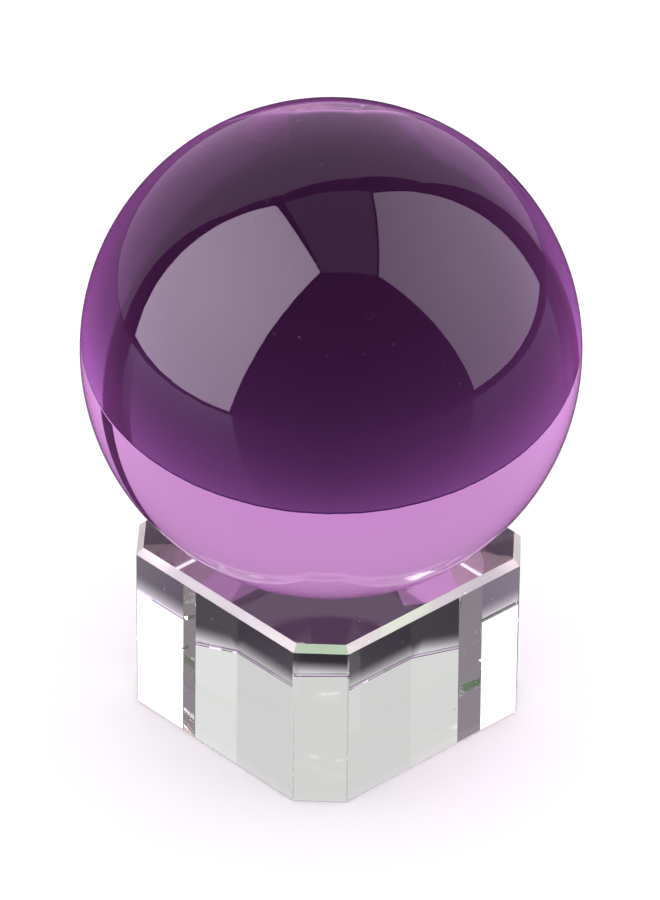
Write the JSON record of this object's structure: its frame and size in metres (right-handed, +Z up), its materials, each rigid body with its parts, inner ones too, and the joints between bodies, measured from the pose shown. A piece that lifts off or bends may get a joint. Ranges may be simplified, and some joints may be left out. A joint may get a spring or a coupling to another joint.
{
  "type": "crystal ball",
  "caption": "Polished violet glass ball that rests in a shallow dished seat on a clear square glass block with cut corners.",
  "frame": {"origin": "centre of the block's underside, on the surface that it stands on", "axes": "+Z up through the centre of the ball; the block's broad faces look along +X, -X, +Y and -Y"},
  "size_m": [0.08, 0.08, 0.1066],
  "materials": {
    "violet_glass": "polished, transparent violet all through",
    "clear_glass": "polished, clear, with a trace of green"
  },
  "bodies": {
    "stand": {"stand": "clear_glass"},
    "ball": {"ball": "violet_glass"}
  },
  "joints": [
    {"name": "ball_lift", "type": "slide", "parent": "stand", "child": "ball", "axis": [0, 0, 1], "range_m": [0, 0.06]}
  ]
}
